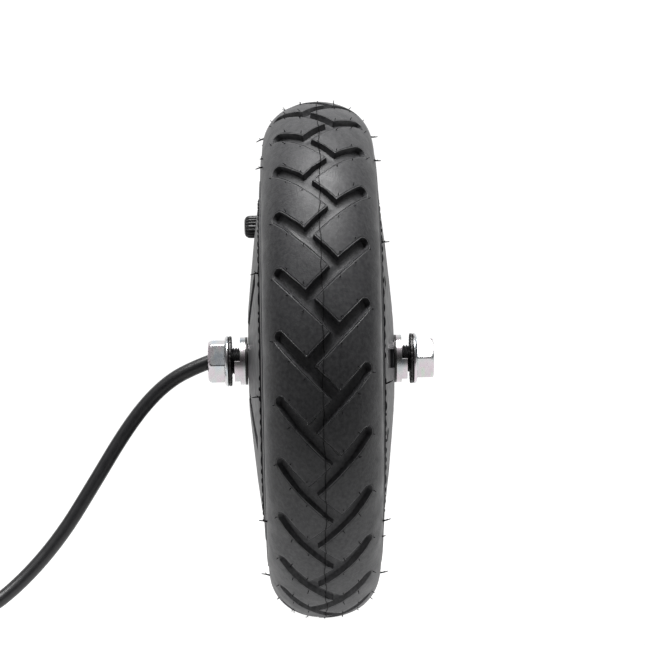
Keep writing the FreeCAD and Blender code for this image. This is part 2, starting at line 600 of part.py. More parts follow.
def make_connector():
    """Round waterproof connector on the cable's end: tapered boot, body with grip ring, and nine pins."""
    start = vec(TAIL_ROUTE[-1])
    heading = (start - vec(TAIL_ROUTE[-2])).normalize()
    heading.z = 0.0
    heading.normalize()
    lie = FLOOR_Z + CONNECTOR_R + 0.05

    def station(distance, z):
        point = start + heading * distance
        return FreeCAD.Vector(point.x, point.y, z)

    sections = []
    for distance, radius, z in ((0.0, CABLE_R + 0.9, start.z + 0.9), (16.0, 5.4, lie)):
        sections.append(Part.Wire(Part.makeCircle(radius, station(distance, z), heading)))
    add("connector_boot", outward(Part.makeLoft(sections, True)).cut(nodes["cable_tail"]))
    body = Part.makeCylinder(6.2, 26.0, station(16.0, lie), heading)
    body = body.fuse(Part.makeCylinder(CONNECTOR_R, 11.0, station(20.0, lie), heading))
    body = body.cut(Part.makeCylinder(4.9, 9.0, station(33.0, lie), heading))
    add("connector_body", body)
    across = heading.cross(Z_AXIS)
    pins = [Part.makeCylinder(0.6, 7.0, station(33.0, lie), heading)]
    for i in range(8):
        angle = i * math.pi / 4
        offset = across * (3.2 * math.cos(angle)) + Z_AXIS * (3.2 * math.sin(angle))
        pins.append(Part.makeCylinder(0.45, 7.0, station(33.0, lie) + offset, heading))
    add("connector_pins", *pins)


# ---------------------------------------------------------------- build
def build():
    make_tyre()
    stem_outline = make_valve()
    make_inner_tube(stem_outline)
    make_hub_shell()
    make_side_cover()
    make_cover_screws()
    make_rotor_magnets()
    make_axle()
    make_stator()
    make_windings()
    make_hall_board()
    make_cable()
    make_leads()
    for prefix, side, nut_angle in (("left", -1, LEFT_NUT_ANGLE), ("right", 1, RIGHT_NUT_ANGLE)):
        make_bearing(prefix, side)
        make_axle_seal(prefix, side)
        make_collar(prefix + "_collar", side)
        make_washer(prefix + "_washer", side)
        make_nut(prefix + "_nut", side, nut_angle)
    make_connector()


build()
for name, shape in nodes.items():
    if not shape.isValid():
        print("not valid:", name)
    shape.exportStep(f"parts/{name}.step")
print(len(nodes), "nodes written")
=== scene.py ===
"""Looks of the hub motor wheel: fine tyre, threaded axle, nuts, valve cap, free cable and every material.

Lengths are in millimetres until a mesh is made, which scales them to metres. The axle lies along Y,
angles about it are measured from +X towards +Z, and +X faces the camera.
"""
import math
import random

import bpy
import numpy as np
from mathutils import Matrix, Vector


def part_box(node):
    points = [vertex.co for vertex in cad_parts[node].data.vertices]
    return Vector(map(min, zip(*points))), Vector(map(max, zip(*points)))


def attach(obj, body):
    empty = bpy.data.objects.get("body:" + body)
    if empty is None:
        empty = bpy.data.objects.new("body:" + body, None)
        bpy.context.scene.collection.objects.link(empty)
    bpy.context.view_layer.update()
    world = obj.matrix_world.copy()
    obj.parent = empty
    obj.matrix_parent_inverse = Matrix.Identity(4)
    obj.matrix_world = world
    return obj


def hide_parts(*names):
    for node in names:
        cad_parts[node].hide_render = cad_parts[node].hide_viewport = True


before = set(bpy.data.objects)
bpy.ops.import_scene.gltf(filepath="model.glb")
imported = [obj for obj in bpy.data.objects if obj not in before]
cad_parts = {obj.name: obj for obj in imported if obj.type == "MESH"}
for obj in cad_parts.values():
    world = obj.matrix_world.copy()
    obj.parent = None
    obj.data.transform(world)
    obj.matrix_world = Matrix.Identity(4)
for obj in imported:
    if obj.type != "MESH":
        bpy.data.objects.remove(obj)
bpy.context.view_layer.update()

MM = 0.001
RNG = random.Random(11)


def node_box(node):
    """Lowest and highest corner of a CAD node, in millimetres."""
    low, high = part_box(node)
    return [c / MM for c in low], [c / MM for c in high]


# ---------------------------------------------------------------- sizes, from the frame where it has them
TREAD_R = node_box("tyre")[1][2]
CROWN_ARC_R = 30.0
CROWN_HALF_WIDTH = 13.0
TYRE_HALF_WIDTH = 24.0
SHOULDER_END = math.radians(87.5)
SIDEWALL_FOOT = (69.7, 25.3)
FLOOR_Z = -TREAD_R

# Tread slots in the unrolled tread: u runs round the wheel and v across it, both in millimetres.
# SLOT_DISH is the share of the depth that the floor is dished by.
PITCHES = 26
SLOT_TIP_V = 18.7
SLOT_JOIN_V = 6.7
SLOT_HALF = 2.6
SLOT_DEPTH = 2.7
SLOT_WALL = 0.5
SLOT_DISH = 0.1
LEFT_TIP_ANGLE = 60.25

# Tyre mesh: the dense band reaches BAND_V each way; the sidewall has COARSE_STEP times fewer columns.
BAND_V = 23.0
BAND_GAP = 1.2
FINE_PER_PITCH = 56
ROW_STEP = 0.5
COARSE_STEP = 4
SNAP_REACH = 0.3
LIP_REACH = 2.5
SEAM_PER_PITCH = 48
SEAM_HALF = 0.24
SEAM_RISE = 0.36
SEAM_SINK = 0.05
HAIR_R = 0.24
HAIR_GAP = 1.3
HAIR_ROWS = (14.3, 7.4)
HAIR_PAST_TIP = (1.6, 3.6)
LONG_HAIR_R = 0.42
LONG_HAIR_SPUR_R = 0.20
FAR_HAIR_SHARE = 0.45

# Sidewall: its bulge, then the radius and height of each moulded ring.
SIDEWALL_BULGE = 0.35
SIDEWALL_RIDGES = ((89.3, 0.28), (78.4, 0.35), (74.6, 0.25))
RIDGE_HALF_FOOT = 0.6
RIDGE_HALF_TOP = 0.45

AXLE_R = 6.0
AXLE_END = node_box("axle")[1][1]
AXLE_BORE_R = 3.6
AXLE_TIP_R = 5.3
AXLE_FLAT_X = 5.0
FLAT_START_Y = 33.0
THREAD_START_Y = 35.3
THREAD_STEP = 0.104
THREAD_PITCH = 1.25
THREAD_DEPTH = 0.72
NUT_BORE_R = 6.05
NUT_FLATS = 17.0
NUT_COLUMNS = 216
WASHER_TEETH = 30
WASHER_COLUMNS = 8 * WASHER_TEETH
CAP_R = 5.0
CAP_RIBS = 22
CAP_RIB_DEPTH = 0.42

CABLE_R = 3.15
CABLE_LIE_Z = FLOOR_Z + CABLE_R + 0.05
COIL_LOW, COIL_HIGH = node_box("cable_coil")
COIL_CENTRE = ((COIL_LOW[0] + COIL_HIGH[0]) / 2, (COIL_LOW[1] + COIL_HIGH[1]) / 2)
COIL_TOP_Z = CABLE_LIE_Z + 5.5


# ---------------------------------------------------------------- mesh helpers
def mesh_piece(name, verts, faces, material, body, replaces=(), sharp=None):
    """New object from points in millimetres; sharp is the angle above which edges stay hard."""
    mesh = bpy.data.meshes.new(name)
    mesh.from_pydata((np.asarray(verts, dtype=float) * MM).tolist(), [], faces)
    mesh.update()
    mesh.validate()
    mesh.shade_smooth()
    if sharp is not None:
        mesh.set_sharp_from_angle(angle=math.radians(sharp))
    mesh.materials.append(material)
    piece = bpy.data.objects.new(name, mesh)
    bpy.context.collection.objects.link(piece)
    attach(piece, body)
    if replaces:
        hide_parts(*replaces)
    return piece


def lathe_mesh(profile, columns, shape):
    """Points and quads of a closed (radius, y) profile turned about Y and bent by shape(r, y, angle)."""
    rows = len(profile)
    verts = []
    for a in np.linspace(0.0, 2 * math.pi, columns, endpoint=False):
        for r, y in profile:
            r, y = shape(r, y, a)
            verts.append((r * math.cos(a), y, r * math.sin(a)))
    faces = []
    for c in range(columns):
        d = (c + 1) % columns
        for i in range(rows):
            k = (i + 1) % rows
            faces.append((c * rows + i, c * rows + k, d * rows + k, d * rows + i))
    return verts, faces


def lathe(name, profile, columns, material, body, shape, replaces=(), sharp=35):
    """Solid turned about the axle, its faces outwards whichever way round the profile was given."""
    area = sum(a[0] * b[1] - b[0] * a[1] for a, b in zip(profile, profile[1:] + profile[:1]))
    if area > 0:
        profile = profile[::-1]
    verts, faces = lathe_mesh(profile, columns, shape)
    return mesh_piece(name, verts, faces, material, body, replaces, sharp)


def fine_line(points, step):
    """Points along straight runs no further apart than step."""
    out = [points[0]]
    for a, b in zip(points, points[1:]):
        n = max(1, math.ceil(math.dist(a, b) / step))
        out += [(a[0] + (b[0] - a[0]) * i / n, a[1] + (b[1] - a[1]) * i / n) for i in range(1, n + 1)]
    return out


def hair_points(base, direction, radius, length, bend, sides=6, rings=4):
    """Points and faces of one thin tapered hair that leans over by bend."""
    axis = Vector(direction).normalized()
    side = axis.orthogonal().normalized()
    other = axis.cross(side)
    verts, faces = [], []
    for i in range(rings):
        t = i / (rings - 1)
        centre = Vector(base) + axis * (length * t) + side * (bend * t * t)
        for j in range(sides):
            a = 2 * math.pi * j / sides
            verts.append(centre + (side * math.cos(a) + other * math.sin(a)) * radius * (1 - 0.55 * t))
    for i in range(rings - 1):
        for j in range(sides):
            k = (j + 1) % sides
            faces.append((i * sides + j, i * sides + k, (i + 1) * sides + k, (i + 1) * sides + j))
    faces.append(tuple(reversed(range(sides))))
    faces.append(tuple(range((rings - 1) * sides, rings * sides)))
    return verts, faces


def join_parts(parts):
    """One list of points and faces from several."""
    verts, faces = [], []
    for part_verts, part_faces in parts:
        start = len(verts)
        verts += [tuple(v) for v in part_verts]
        faces += [tuple(i + start for i in f) for f in part_faces]
    return verts, faces


# ---------------------------------------------------------------- materials
def new_material(name, colour, roughness, metallic=0.0):
    """Material with one Principled shader."""
    material = bpy.data.materials.new(name)
    material.use_nodes = True
    shader = material.node_tree.nodes["Principled BSDF"]
    shader.inputs["Base Color"].default_value = (*colour, 1.0)
    shader.inputs["Roughness"].default_value = roughness
    shader.inputs["Metallic"].default_value = metallic
    return material


def add_node(material, kind, **values):
    """New node in a material's or world's tree, with its sockets or settings given by name."""
    node = material.node_tree.nodes.new(kind)
    for key, value in values.items():
        if key in node.inputs:
            node.inputs[key].default_value = value
        else:
            setattr(node, key, value)
    return node


def link(material, source, output, target, socket):
    """Joins an output socket of one node to an input socket of another."""
    material.node_tree.links.new(source.outputs[output], target.inputs[socket])


def noise(material, scale, detail=4.0, stretch=None):
    """Noise in the piece's own coordinates; scale counts features per metre."""
    place = add_node(material, "ShaderNodeTexCoord")
    texture = add_node(material, "ShaderNodeTexNoise", Scale=scale, Detail=detail)
    if stretch is None:
        link(material, place, "Object", texture, "Vector")
    else:
        mapping = add_node(material, "ShaderNodeMapping", Scale=stretch)
        link(material, place, "Object", mapping, "Vector")
        link(material, mapping, "Vector", texture, "Vector")
    return texture


def ramp(material, source, output, stops):
    """Colour ramp; stops are (place, colour or grey)."""
    node = add_node(material, "ShaderNodeValToRGB")
    link(material, source, output, node, "Fac")
    elements = node.color_ramp.elements
    while len(elements) < len(stops):
        elements.new(0.5)
    for element, (place, colour) in zip(elements, stops):
        element.position = place
        element.color = (*colour, 1.0) if isinstance(colour, tuple) else (colour, colour, colour, 1.0)
    return node


def shader_of(material):
    """The material's Principled shader."""
    return material.node_tree.nodes["Principled BSDF"]


def add_bump(material, source, output, distance, strength=1.0, under=None):
    """Bump from a height between 0 and 1, distance in metres; under is a bump that it lies on."""
    bump = add_node(material, "ShaderNodeBump", Strength=strength, Distance=distance)
    link(material, source, output, bump, "Height")
    if under is not None:
        link(material, under, "Normal", bump, "Normal")
    link(material, bump, "Normal", shader_of(material), "Normal")
    return bump


def mottle(material, scale, dark, light, low=0.35, high=0.65):
    """Base colour that wanders between two tones."""
    tones = ramp(material, noise(material, scale), "Fac", [(low, dark), (high, light)])
    link(material, tones, "Color", shader_of(material), "Base Color")


def rough_range(material, scale, low, high):
    """Roughness that wanders between two values."""
    field = noise(material, scale, 5.0)
    spread = add_node(material, "ShaderNodeMapRange")
    spread.inputs["From Min"].default_value = 0.3
    spread.inputs["From Max"].default_value = 0.7
    spread.inputs["To Min"].default_value = low
    spread.inputs["To Max"].default_value = high
    link(material, field, "Fac", spread, "Value")
    link(material, spread, "Result", shader_of(material), "Roughness")


def rubber_tread():
    """Moulded tyre rubber: dark grey with a fine mottled grain, and a raised lip line beside each groove."""
    material = new_material("tyre_rubber_grain", (0.034, 0.034, 0.036), 0.50)
    mottle(material, 650.0, (0.019, 0.019, 0.021), (0.044, 0.044, 0.046), 0.3, 0.7)
    rough_range(material, 120.0, 0.42, 0.58)
    grain = add_bump(material, noise(material, 1500.0, 4.0), "Fac", 0.00012, 0.8)
    waves = add_bump(material, noise(material, 160.0, 2.0), "Fac", 0.00025, 0.5, under=grain)
    distance = add_node(material, "ShaderNodeAttribute", attribute_name="groove_distance")
    lip = ramp(material, distance, "Fac", [(0.0, 0.0), (0.06, 0.0), (0.13, 1.0), (0.20, 1.0), (0.30, 0.0)])
    add_bump(material, lip, "Color", 0.00030, 1.0, under=waves)
    shader_of(material).inputs["Specular IOR Level"].default_value = 0.38
    return material


def plain_rubber(name, colour, roughness, gloss=0.5):
    """Rubber with small variation of tone and a fine grain."""
    material = new_material(name, colour, roughness)
    shader_of(material).inputs["Specular IOR Level"].default_value = gloss
    mottle(material, 220.0, tuple(c * 0.75 for c in colour), tuple(c * 1.25 for c in colour))
    add_bump(material, noise(material, 1800.0, 3.0), "Fac", 0.00005, 0.6)
    return material


def hub_enamel():
    """Semi-gloss black coat on a casting, with orange peel."""
    material = new_material("hub_enamel", (0.020, 0.020, 0.022), 0.45)
    mottle(material, 60.0, (0.015, 0.015, 0.017), (0.025, 0.025, 0.027))
    rough_range(material, 300.0, 0.40, 0.52)
    add_bump(material, noise(material, 700.0, 2.0), "Fac", 0.00005, 0.6)
    shader_of(material).inputs["Specular IOR Level"].default_value = 0.26
    return material


def zinc_plate():
    """Bright zinc with the faint blue, pink and green of its passivation, and light drawing marks."""
    material = new_material("zinc_plate", (0.54, 0.55, 0.58), 0.26, 1.0)
    tones = ramp(material, noise(material, 70.0, 2.0, stretch=(1.0, 3.0, 1.0)), "Fac",
                 [(0.30, (0.45, 0.51, 0.58)), (0.45, (0.54, 0.55, 0.55)), (0.58, (0.58, 0.51, 0.55)),
                  (0.70, (0.50, 0.56, 0.50))])
    link(material, tones, "Color", shader_of(material), "Base Color")
    rough_range(material, 250.0, 0.22, 0.32)
    add_bump(material, noise(material, 1400.0, 3.0), "Fac", 0.00002, 0.4)
    return material


def worked_metal(name, colour, roughness, spread=0.12, metallic=1.0):
    """Machined or treated metal with small variation of tone and gloss."""
    material = new_material(name, colour, roughness, metallic)
    mottle(material, 180.0, tuple(c * 0.8 for c in colour), tuple(min(1.0, c * 1.15) for c in colour))
    rough_range(material, 400.0, roughness - spread / 2, roughness + spread / 2)
    add_bump(material, noise(material, 1500.0, 3.0), "Fac", 0.00003, 0.5)
    return material


def moulded_plastic(name, colour, roughness):
    """Plastic with small variation of tone and a fine grain."""
    material = new_material(name, colour, roughness)
    mottle(material, 150.0, tuple(c * 0.85 for c in colour), tuple(min(1.0, c * 1.12) for c in colour))
    add_bump(material, noise(material, 2200.0, 2.0), "Fac", 0.00004, 0.5)
    return material


def cable_jacket():
    """Black PVC with a soft gloss and the faint waviness of an extruded jacket."""
    material = new_material("cable_jacket", (0.010, 0.010, 0.011), 0.36)
    mottle(material, 300.0, (0.008, 0.008, 0.009), (0.013, 0.013, 0.014))
    fine = add_bump(material, noise(material, 1600.0, 2.0), "Fac", 0.00004, 0.5)
    add_bump(material, noise(material, 140.0, 2.0), "Fac", 0.0003, 0.4, under=fine)
    return material


def make_materials():
    """Every material of the wheel, by a short name."""
    return {
        "tread": rubber_tread(),
        "flash": plain_rubber("rubber_flash", (0.003, 0.003, 0.004), 0.8, gloss=0.08),
        "seam": plain_rubber("rubber_seam", (0.010, 0.010, 0.011), 0.7, gloss=0.25),
        "enamel": hub_enamel(),
        "zinc": zinc_plate(),
        "black_steel": worked_metal("black_oxide", (0.035, 0.034, 0.034), 0.42, metallic=0.7),
        "axle_steel": worked_metal("axle_oxide", (0.035, 0.035, 0.036), 0.36, metallic=0.8),
        "bearing_steel": worked_metal("bearing_ground", (0.66, 0.67, 0.69), 0.18),
        "brass": worked_metal("turned_brass", (0.78, 0.60, 0.28), 0.28),
        "magnet": worked_metal("nickel_magnet", (0.60, 0.60, 0.62), 0.30),
        "laminated": worked_metal("laminated_steel", (0.33, 0.33, 0.35), 0.42),
        "aluminium": worked_metal("cast_aluminium", (0.62, 0.63, 0.65), 0.45),
        "copper": worked_metal("enamelled_copper", (0.72, 0.30, 0.10), 0.30),
        "seal": plain_rubber("seal_rubber", (0.020, 0.020, 0.021), 0.6),
        "tube": plain_rubber("butyl_tube", (0.030, 0.030, 0.031), 0.5),
        "cable": cable_jacket(),
        "cap": moulded_plastic("cap_plastic", (0.010, 0.010, 0.011), 0.42),
        "plug": moulded_plastic("plug_plastic", (0.025, 0.025, 0.026), 0.42),
        "cage": moulded_plastic("cage_nylon", (0.55, 0.47, 0.30), 0.5),
        "insulator": moulded_plastic("insulator_nylon", (0.78, 0.76, 0.68), 0.45),
        "board": moulded_plastic("board_green", (0.03, 0.16, 0.07), 0.35),
        "lead": moulded_plastic("lead_red", (0.45, 0.05, 0.03), 0.4),
    }


NODE_LOOKS = {
    "inner_tube": "tube", "valve_stem": "brass", "valve_core": "brass", "valve_pin": "brass",
    "valve_cap_seal": "seal", "hub_shell": "enamel", "side_cover": "enamel", "cover_seal_ring": "seal",
    "cover_screws": "black_steel", "flux_ring": "laminated", "rotor_magnets": "magnet",
    "stator_core": "laminated", "stator_insulators": "insulator", "stator_spider": "aluminium",
    "stator_circlip": "black_steel", "winding_phase_a": "copper", "winding_phase_b": "copper",
    "winding_phase_c": "copper", "hall_board": "board", "hall_sensors": "plug", "cable_inner": "cable",
    "cable_seal": "seal", "phase_leads": "lead", "hall_lead": "lead", "connector_pins": "brass",
    "cable_tie": "plug", "connector_boot": "seal", "connector_body": "plug",
}
PAIR_LOOKS = {
    "bearing_inner_ring": "bearing_steel", "bearing_outer_ring": "bearing_steel",
    "bearing_shields": "seal", "bearing_balls": "bearing_steel", "bearing_cage": "cage", "lip_seal": "seal",
    "spacer_bush": "black_steel", "dust_ring": "black_steel", "collar": "zinc",
}


def dress_cad_nodes(looks):
    """Give each CAD node that stays its own material."""
    table = dict(NODE_LOOKS)
    for side in ("left", "right"):
        table.update({f"{side}_{part}": look for part, look in PAIR_LOOKS.items()})
    for node, look in table.items():
        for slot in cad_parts[node].material_slots:
            slot.material = looks[look]


# ---------------------------------------------------------------- tyre
def section_geometry():
    """The outer section's two arcs: crown's half angle, shoulder's radius, and the length of each."""
    half = math.asin(CROWN_HALF_WIDTH / CROWN_ARC_R)
    shoulder_r = (TYRE_HALF_WIDTH - CROWN_HALF_WIDTH) / (math.sin(SHOULDER_END) - math.sin(half))
    crown_len = CROWN_ARC_R * half
    shoulder_len = shoulder_r * (SHOULDER_END - half)
    return half, shoulder_r, crown_len, shoulder_len


def section_point(v):
    """Radius, y and slope of the tread at signed arc length v from its middle (array in, arrays out)."""
    half, shoulder_r, crown_len, _ = section_geometry()
    reach = np.abs(v)
    crown_centre = TREAD_R - CROWN_ARC_R
    joint_r = crown_centre + CROWN_ARC_R * math.cos(half)
    centre_r = joint_r - shoulder_r * math.cos(half)
    centre_y = CROWN_HALF_WIDTH - shoulder_r * math.sin(half)
    crown = reach / CROWN_ARC_R
    shoulder = half + (reach - crown_len) / shoulder_r
    on_crown = reach <= crown_len
    r = np.where(on_crown, crown_centre + CROWN_ARC_R * np.cos(crown),
                 centre_r + shoulder_r * np.cos(shoulder))
    y = np.where(on_crown, CROWN_ARC_R * np.sin(crown), centre_y + shoulder_r * np.sin(shoulder))
    slope = np.where(on_crown, crown, shoulder)
    return r, y * np.sign(v), slope * np.sign(v)


def groove_distance(u, v):
    """Signed distance to the nearest groove's edge in the unrolled tread, and the way out of it."""
    pitch = 2 * math.pi * TREAD_R / PITCHES
    run = SLOT_TIP_V + SLOT_JOIN_V
    drop = run * (pitch / 2) / (2 * SLOT_JOIN_V)
    tip_u = math.radians(LEFT_TIP_ANGLE) * TREAD_R
    nearest = np.full(u.shape, np.inf)
    away_u = np.zeros(u.shape)
    away_v = np.zeros(u.shape)
    for side, shift in ((-1, 0.0), (1, 0.5)):
        base = (u - tip_u - shift * pitch) % pitch
        arm_u, arm_v = -drop, -side * run
        for k in (-1, 0, 1, 2):
            from_tip_u = base - k * pitch
            from_tip_v = v - side * SLOT_TIP_V
            along = (from_tip_u * arm_u + from_tip_v * arm_v) / (arm_u * arm_u + arm_v * arm_v)
            along = np.clip(along, 0.0, 1.0)
            off_u, off_v = from_tip_u - along * arm_u, from_tip_v - along * arm_v
            far = np.hypot(off_u, off_v)
            nearer = far < nearest
            nearest = np.where(nearer, far, nearest)
            away_u = np.where(nearer, off_u, away_u)
            away_v = np.where(nearer, off_v, away_v)
    size = np.maximum(nearest, 1e-6)
    return nearest - SLOT_HALF, away_u / size, away_v / size


def groove_depth(d):
    """Depth below the tread at signed distance d: sloped wall, then a slightly dished floor."""
    wall = np.clip(-d / SLOT_WALL, 0.0, 1.0) * (1.0 - SLOT_DISH)
    inner = SLOT_HALF - SLOT_WALL
    across = np.clip((SLOT_HALF + d) / inner, 0.0, 1.0)
    floor = np.where(d < -SLOT_WALL, SLOT_DISH * (1.0 - across ** 2), 0.0)
    return SLOT_DEPTH * (wall + floor)


def snapped(u, v, level):
    """Moves points that are near one level of groove distance onto it, for clean groove edges."""
    d, gu, gv = groove_distance(u, v)
    near = np.abs(d - level) < SNAP_REACH
    return np.where(near, u - (d - level) * gu, u), np.where(near, v - (d - level) * gv, v)


def surface_point(u, v, rise=0.0):
    """Point in millimetres on the tread at unrolled place (u, v), raised along the section's normal."""
    r, y, slope = section_point(v)
    r = r + rise * np.cos(slope)
    y = y + rise * np.sin(slope)
    a = u / TREAD_R
    return np.stack([r * np.cos(a), y, r * np.sin(a)], -1)


def sidewall_y(radius):
    """How far out the plain sidewall or shoulder is at a radius."""
    _, shoulder_r, crown_len, shoulder_len = section_geometry()
    top_r, top_y, _ = (float(c[0]) for c in section_point(np.array([crown_len + shoulder_len])))
    if radius < top_r:
        t = (top_r - radius) / (top_r - SIDEWALL_FOOT[0])
        return top_y + (SIDEWALL_FOOT[1] - top_y) * t + SIDEWALL_BULGE * math.sin(math.pi * t)
    centre_r = top_r - shoulder_r * math.cos(SHOULDER_END)
    centre_y = top_y - shoulder_r * math.sin(SHOULDER_END)
    return centre_y + math.sqrt(shoulder_r ** 2 - (radius - centre_r) ** 2)


def sidewall_profile():
    """One side of the tyre from the tread band's edge round the bead to the middle of the air space."""
    edge_r = float(section_point(np.array([BAND_V + BAND_GAP]))[0][0])
    radii = list(np.linspace(edge_r, 94.0, 8)) + list(np.linspace(92.5, SIDEWALL_FOOT[0] + 0.4, 18))
    rows = [(r, sidewall_y(r)) for r in radii]
    for ridge_r, height in SIDEWALL_RIDGES:
        for offset, rise in ((RIDGE_HALF_FOOT, 0.0), (RIDGE_HALF_TOP, height),
                             (-RIDGE_HALF_TOP, height), (-RIDGE_HALF_FOOT, 0.0)):
            r = ridge_r + offset
            rows.append((r, sidewall_y(r) + rise))
    rows.sort(reverse=True)
    bead = [(69.8, 24.9), (69.8, 23.45), (67.05, 23.4), (67.05, 16.0)]
    air_space = [(74.0, 20.5), (90.0, 20.8), (98.0, 18.0), (104.0, 11.0), (107.0, 0.0)]
    return rows + bead + air_space


def tread_grid(side):
    """Unrolled places (u, v) of one half of the tread band, with points moved onto the grooves' edges."""
    columns = PITCHES * FINE_PER_PITCH
    low, high = sorted((0.0, side * BAND_V))
    grid_u, grid_v = np.meshgrid(np.arange(columns) * 2 * math.pi * TREAD_R / columns,
                                 np.linspace(low, high, math.ceil(BAND_V / ROW_STEP) + 1), indexing="ij")
    u, v = grid_u.copy(), grid_v.copy()
    for level in (0.0, -SLOT_WALL):
        u, v = snapped(u, v, level)
    v = np.where(grid_v == 0.0, 0.0, v)
    free = np.abs(grid_v) < BAND_V - 0.01
    return np.where(free, u, grid_u), np.where(free, v, grid_v)


def quads_between(index):
    """Faces of a grid of point numbers that is closed round its first axis."""
    after = np.roll(index, -1, axis=0)
    return np.stack([index[:, :-1], after[:, :-1], after[:, 1:], index[:, 1:]], -1).reshape(-1, 4).tolist()


def ring_points(profile, columns):
    """Points of a (radius, y) profile turned about Y, as an array of columns by rows by three."""
    angles = np.arange(columns)[:, None] * 2 * math.pi / columns
    r, y = np.array(profile).T
    return np.stack([np.cos(angles) * r, np.ones((columns, 1)) * y, np.sin(angles) * r], -1)


def joining_faces(band, wall, side):
    """Faces between the dense band's edge and the coarser sidewall, COARSE_STEP band edges to each."""
    columns, coarse = len(band), len(wall)
    faces = []
    for c in range(coarse):
        after = (c + 1) % coarse
        places = [(c * COARSE_STEP + i) % columns for i in range(COARSE_STEP + 1)]
        if side > 0:
            face = [band[i, -1] for i in places] + [wall[after, 0], wall[c, 0]]
        else:
            face = [band[i, 0] for i in reversed(places)] + [wall[c, -1], wall[after, -1]]
        faces.append([int(i) for i in face])
    return faces


def make_tyre_half(name, side, material):
    """Half of the tyre up to the parting line: dense tread with its grooves, coarser sidewall and bead."""
    u, v = tread_grid(side)
    d = groove_distance(u, v)[0]
    band = surface_point(u, v, -groove_depth(d)).reshape(-1, 3)
    band_index = np.arange(len(band)).reshape(u.shape)

    profile = sidewall_profile()
    if side < 0:
        profile = [(r, -y) for r, y in reversed(profile)]
    wall = ring_points(profile, len(band_index) // COARSE_STEP)
    wall_index = len(band) + np.arange(wall.shape[0] * wall.shape[1]).reshape(wall.shape[:2])

    verts = np.concatenate([band, wall.reshape(-1, 3)])
    faces = quads_between(band_index) + quads_between(wall_index)
    faces += joining_faces(band_index, wall_index, side)
    half = mesh_piece(name, verts, faces, material, "wheel", replaces=("tyre",), sharp=38)
    away = np.full(len(verts), 1.0)
    away[:len(band)] = np.clip(d.reshape(-1) / LIP_REACH, 0.0, 1.0)
    field = half.data.attributes.new("groove_distance", "FLOAT", "POINT")
    field.data.foreach_set("value", away.astype(np.float32))


def seam_offset(angle):
    """Wavy place of the mould's parting line across the crown."""
    return 0.35 * math.sin(9 * angle) + 0.25 * math.sin(31 * angle + 1.0) + 0.15 * math.sin(87 * angle)


def make_seam(material):
    """Thin ridge of flash along the mould's parting line, down into the grooves and out."""
    steps = PITCHES * SEAM_PER_PITCH
    verts, faces = [], []
    for i in range(steps):
        a = 2 * math.pi * i / steps
        middle = seam_offset(a)
        for shift, rise in ((-SEAM_HALF, -SEAM_SINK), (0.0, SEAM_RISE), (SEAM_HALF, -SEAM_SINK)):
            u = np.array([a * TREAD_R])
            v = np.array([middle + shift])
            depth = groove_depth(groove_distance(u, v)[0])
            verts.append(tuple(surface_point(u, v, rise - depth)[0]))
    for i in range(steps):
        k = (i + 1) % steps
        for j in range(3):
            m = (j + 1) % 3
            faces.append((3 * i + j, 3 * k + j, 3 * k + m, 3 * i + m))
    return mesh_piece("tyre_seam", verts, faces, material, "wheel")


# side, radius, height, length and droop of each long hair beside the tread
SIDEWALL_HAIRS = [
    (-1, 97.5, 96.5, 3.8, -0.25),
    (-1, 97.0, 81.0, 3.4, -0.10),
    (-1, 97.0, 85.0, 1.6, 0.10),
    (-1, 72.0, 36.5, 4.3, -0.05),
    (-1, 72.0, -15.0, 4.2, 0.12),
    (-1, 95.0, -66.5, 3.8, 0.30),
    (-1, 95.5, -92.5, 4.0, 0.35),
    (1, 97.5, 96.5, 3.2, -0.15),
    (1, 97.0, 83.5, 3.2, -0.25),
    (1, 72.0, 49.0, 4.2, -0.15),
    (1, 72.0, -10.5, 4.3, 0.20),
    (1, 95.0, -67.0, 3.8, 0.10),
    (1, 95.0, -74.0, 1.8, 0.10),
    (1, 95.5, -92.0, 3.8, 0.05),
]


def tread_hairs():
    """Short hairs left by the mould's vents: four beside each groove's arm and one past its tip."""
    pitch = 2 * math.pi * TREAD_R / PITCHES
    slope = (pitch / 2) / (2 * SLOT_JOIN_V)
    gap = (SLOT_HALF + HAIR_GAP) * math.hypot(1.0, slope)
    parts = []
    for i in range(PITCHES):
        for side, shift in ((-1, 0.0), (1, 0.5)):
            tip_u = math.radians(LEFT_TIP_ANGLE) * TREAD_R + (i + shift) * pitch
            spots = [(tip_u - HAIR_PAST_TIP[0], side * (SLOT_TIP_V + HAIR_PAST_TIP[1]))]
            for v in HAIR_ROWS:
                middle = tip_u - (SLOT_TIP_V - v) * slope
                spots += [(middle + gap, side * v), (middle - gap, side * v)]
            for u, v in spots:
                base = surface_point(np.array([u]), np.array([v]))[0]
                out = surface_point(np.array([u]), np.array([v]), 1.0)[0] - base
                lean = np.array([RNG.uniform(-0.4, 0.4) for _ in range(3)])
                parts.append(hair_points(base - out * 0.3, out + lean, HAIR_R, RNG.uniform(0.9, 1.9),
                                         RNG.uniform(-0.3, 0.5)))
    return parts


def sidewall_hairs():
    """Longer kinked hairs on the sidewalls; those on the far half of the wheel are shorter."""
    parts = []
    for side, radius, height, length, droop in SIDEWALL_HAIRS:
        for x_sign, share in ((1, 1.0), (-1, FAR_HAIR_SHARE)):
            a = math.atan2(height, x_sign * math.sqrt(radius ** 2 - height ** 2))
            base = Vector((radius * math.cos(a), side * (sidewall_y(radius) - 0.4), radius * math.sin(a)))
            lean = Vector((0.1 * math.cos(a), side, droop))
            reach = length * share
            parts.append(hair_points(base, lean, LONG_HAIR_R, reach, 0.2 * reach))
            spur = base + lean * (0.45 * reach)
            parts.append(hair_points(spur, (0.0, side * 0.8, 1.0), LONG_HAIR_SPUR_R, 0.25 * reach, 0.0))
    return parts


